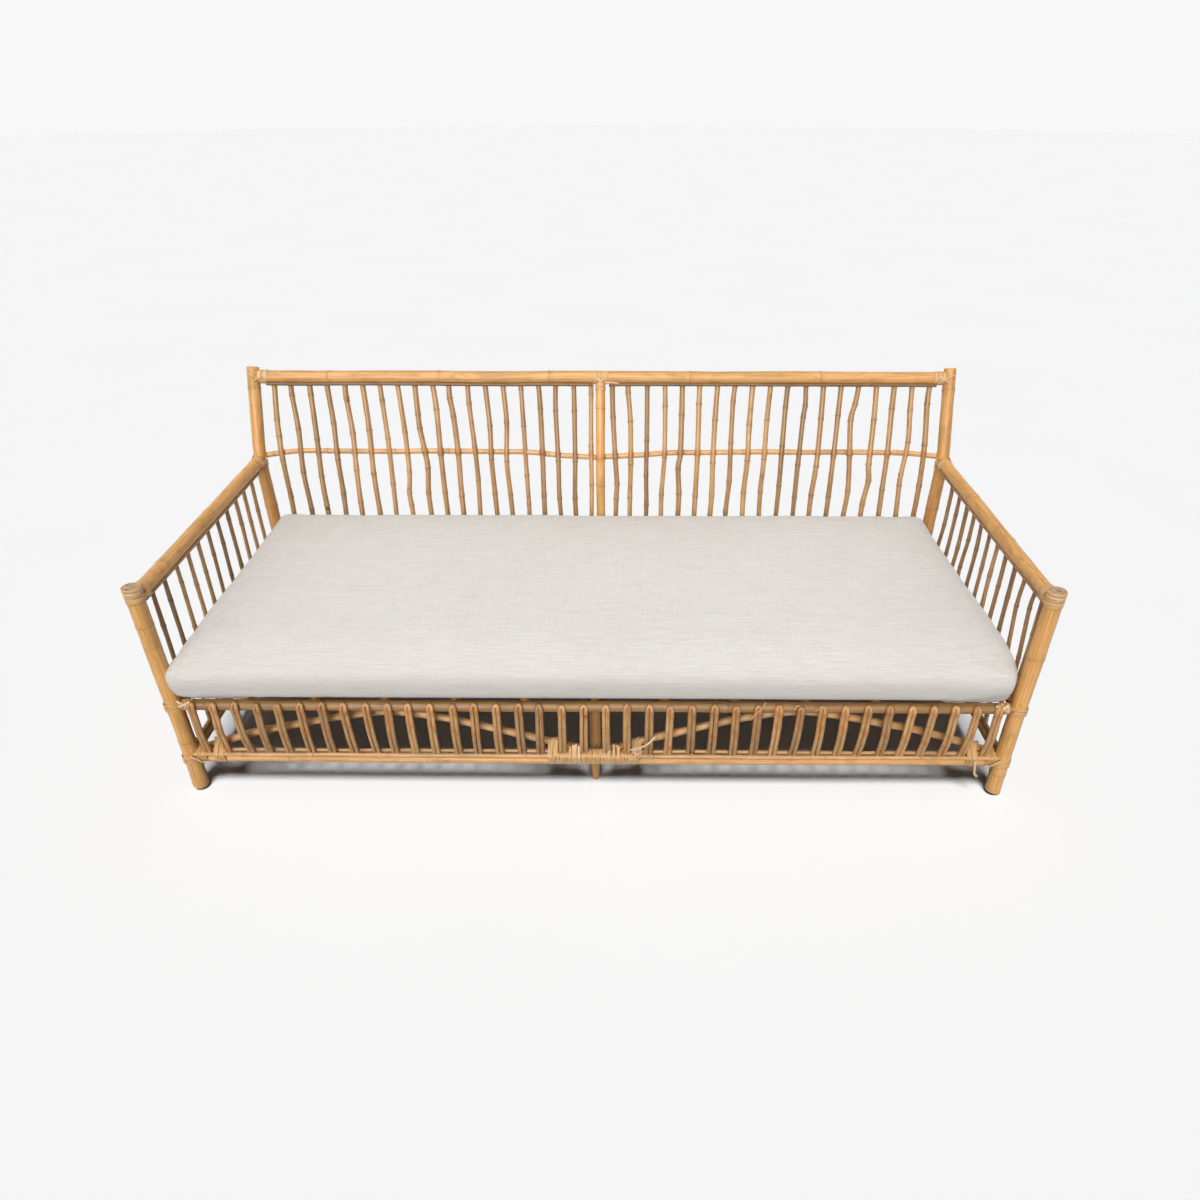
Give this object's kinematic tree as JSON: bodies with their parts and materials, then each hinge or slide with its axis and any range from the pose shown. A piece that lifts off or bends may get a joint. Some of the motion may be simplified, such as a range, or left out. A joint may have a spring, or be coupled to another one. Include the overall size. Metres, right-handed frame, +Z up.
{
  "type": "daybed",
  "caption": "Rattan daybed with a leaning cane back, open cane arms, a low cane apron with arched braces, cane-bound joints and a loose linen mattress.",
  "frame": {"origin": "on the floor, under the middle of the bounding box", "axes": "+X along the length, towards the right-hand arm as seen from the open front; +Y from the open front to the back; +Z up"},
  "size_m": [2.0054, 0.9353, 0.7848],
  "materials": {
    "rattan_pole": "satin",
    "rattan_cane": "satin",
    "cane_binding": "matte",
    "linen_cover": "matte"
  },
  "bodies": {
    "frame": {"arch_brace_left": "rattan_cane", "arch_brace_right": "rattan_cane", "arm_canes_left": "rattan_cane", "arm_canes_right": "rattan_cane", "arm_end_binding_left": "cane_binding", "arm_end_binding_right": "cane_binding", "arm_rail_left": "rattan_pole", "arm_rail_right": "rattan_pole", "back_apron_canes": "rattan_cane", "back_bottom_rail": "rattan_pole", "back_canes_left": "rattan_cane", "back_canes_right": "rattan_cane", "back_post_left": "rattan_pole", "back_post_right": "rattan_pole", "back_seat_rail": "rattan_pole", "back_top_rail": "rattan_pole", "centre_back_leg": "rattan_pole", "centre_back_post": "rattan_pole", "centre_binding_inner_left": "cane_binding", "centre_binding_inner_right": "cane_binding", "centre_binding_outer_left": "cane_binding", "centre_binding_outer_right": "cane_binding", "centre_front_leg": "rattan_pole", "corner_binding_inner_left": "cane_binding", "corner_binding_inner_right": "cane_binding", "corner_binding_outer_left": "cane_binding", "corner_binding_outer_right": "cane_binding", "front_apron_canes": "rattan_cane", "front_bottom_rail": "rattan_pole", "front_post_left": "rattan_pole", "front_post_right": "rattan_pole", "front_seat_rail": "rattan_pole", "post_top_binding_left": "cane_binding", "post_top_binding_right": "cane_binding", "seat_pole_01": "rattan_pole", "seat_pole_02": "rattan_pole", "seat_pole_03": "rattan_pole", "seat_pole_04": "rattan_pole", "seat_pole_05": "rattan_pole", "seat_pole_06": "rattan_pole", "seat_pole_07": "rattan_pole", "seat_pole_08": "rattan_pole", "seat_pole_09": "rattan_pole", "seat_pole_10": "rattan_pole", "seat_pole_11": "rattan_pole", "seat_rail_binding_left": "cane_binding", "seat_rail_binding_right": "cane_binding", "side_apron_canes_left": "rattan_cane", "side_apron_canes_right": "rattan_cane", "side_bottom_rail_left": "rattan_pole", "side_bottom_rail_right": "rattan_pole", "side_seat_rail_left": "rattan_pole", "side_seat_rail_right": "rattan_pole", "top_rail_binding_centre": "cane_binding", "top_rail_binding_left": "cane_binding", "top_rail_binding_right": "cane_binding"},
    "mattress": {"mattress": "linen_cover"}
  },
  "joints": [
    {"name": "mattress_lift", "type": "slide", "parent": "frame", "child": "mattress", "axis": [0, 0, 1], "range_m": [0, 0.5]}
  ]
}
